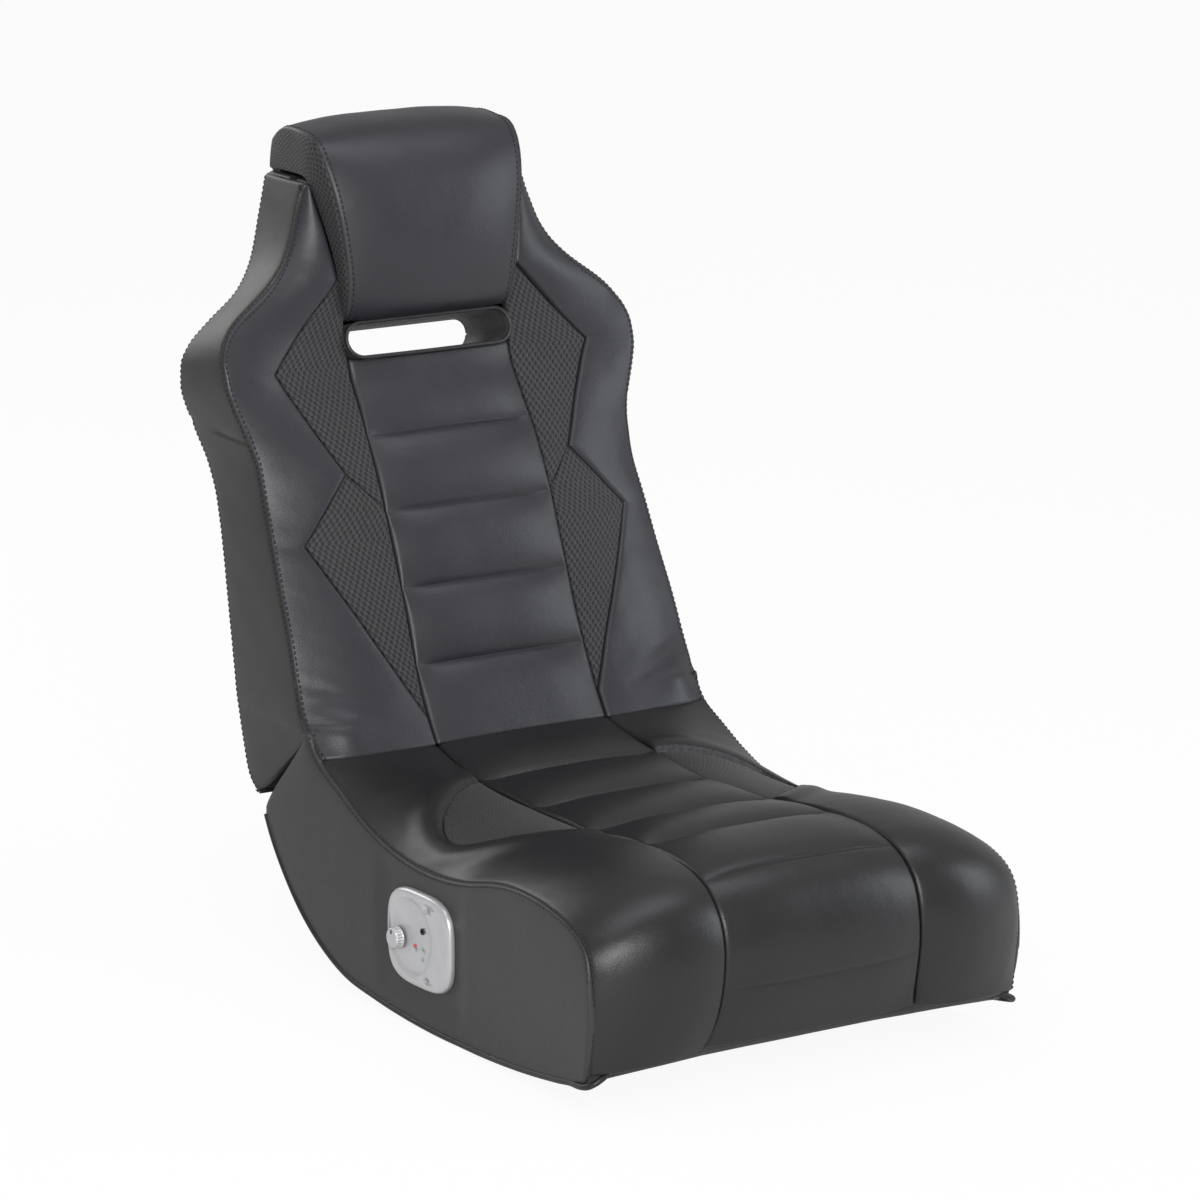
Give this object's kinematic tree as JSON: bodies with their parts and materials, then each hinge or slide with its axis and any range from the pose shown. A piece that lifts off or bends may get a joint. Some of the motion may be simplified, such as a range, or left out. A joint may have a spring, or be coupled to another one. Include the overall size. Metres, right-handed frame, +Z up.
{
  "type": "gaming rocker chair",
  "caption": "Folding floor rocker seat with padded channels, mesh inserts, headrest, curved base and a side control panel.",
  "frame": {"origin": "on the floor under the middle of the chair's bounding box", "axes": "+Z up, the sitter faces -Y, +X is the sitter's left side"},
  "size_m": [0.4522, 0.7422, 0.7628],
  "materials": {
    "plywood": "raw birch plywood",
    "seat_leather": "black grained upholstery leather, satin",
    "side_leather": "black grained upholstery leather, satin",
    "back_leather": "black grained upholstery leather, satin",
    "air_mesh": "black open spacer mesh",
    "piping": "black piping",
    "dust_cloth": "black non-woven cloth",
    "black_plastic": "moulded black plastic",
    "silver_plastic": "silver painted plastic",
    "steel": "zinc plated steel",
    "lens": "clear coloured lens",
    "circuit_board": "printed circuit board",
    "speaker_cone": "pressed paper cone",
    "magnet": "ferrite magnet"
  },
  "bodies": {
    "seat": {"amplifier_board": "circuit_board", "amplifier_case": "black_plastic", "audio_jack": "black_plastic", "control_panel_bezel": "silver_plastic", "front_glides": "black_plastic", "hinge_pin_left": "steel", "hinge_pin_right": "steel", "hinge_seat_bolts": "steel", "hinge_seat_strap_left": "steel", "hinge_seat_strap_right": "steel", "indicator_lenses": "lens", "panel_screws": "steel", "seat_bolster_left": "seat_leather", "seat_bolster_right": "seat_leather", "seat_bottom_welts": "piping", "seat_center_cushion": "seat_leather", "seat_deck": "plywood", "seat_dust_cover": "dust_cloth", "seat_front_rail": "plywood", "seat_mesh_left": "air_mesh", "seat_mesh_right": "air_mesh", "seat_middle_rail": "plywood", "seat_rear_cover": "side_leather", "seat_rear_rail": "plywood", "seat_side_board_left": "plywood", "seat_side_board_right": "plywood", "seat_side_cover_left": "side_leather", "seat_side_cover_right": "side_leather", "volume_control": "black_plastic"},
    "backrest": {"back_center_cushion": "back_leather", "back_frame_board": "plywood", "back_lower_cover": "side_leather", "back_mesh_lower_left": "air_mesh", "back_mesh_lower_right": "air_mesh", "back_mesh_upper_left": "air_mesh", "back_mesh_upper_right": "air_mesh", "back_rear_cover": "side_leather", "back_side_cover_left": "side_leather", "back_side_cover_right": "side_leather", "back_side_panel_left": "back_leather", "back_side_panel_right": "back_leather", "back_side_rail_left": "plywood", "back_side_rail_right": "plywood", "headrest_cushion": "back_leather", "headrest_gusset_left": "air_mesh", "headrest_gusset_right": "air_mesh", "hinge_back_bolts": "steel", "hinge_back_strap_left": "steel", "hinge_back_strap_right": "steel", "slot_liner": "air_mesh", "slot_trims": "piping", "speaker_cone_left": "speaker_cone", "speaker_cone_right": "speaker_cone", "speaker_frame_left": "black_plastic", "speaker_frame_right": "black_plastic", "speaker_magnet_left": "magnet", "speaker_magnet_right": "magnet"},
    "volume_knob": {"volume_knob": "silver_plastic", "volume_shaft": "steel"}
  },
  "joints": [
    {"name": "fold", "type": "hinge", "parent": "seat", "child": "backrest", "pos_m": [0, 0.13206, 0.229], "axis": [1, 0, 0], "range_deg": [0, 105]},
    {"name": "volume", "type": "hinge", "parent": "seat", "child": "volume_knob", "pos_m": [-0.2203, -0.02344, 0.0785], "axis": [1, 0, 0], "range_deg": [-150, 150]}
  ]
}
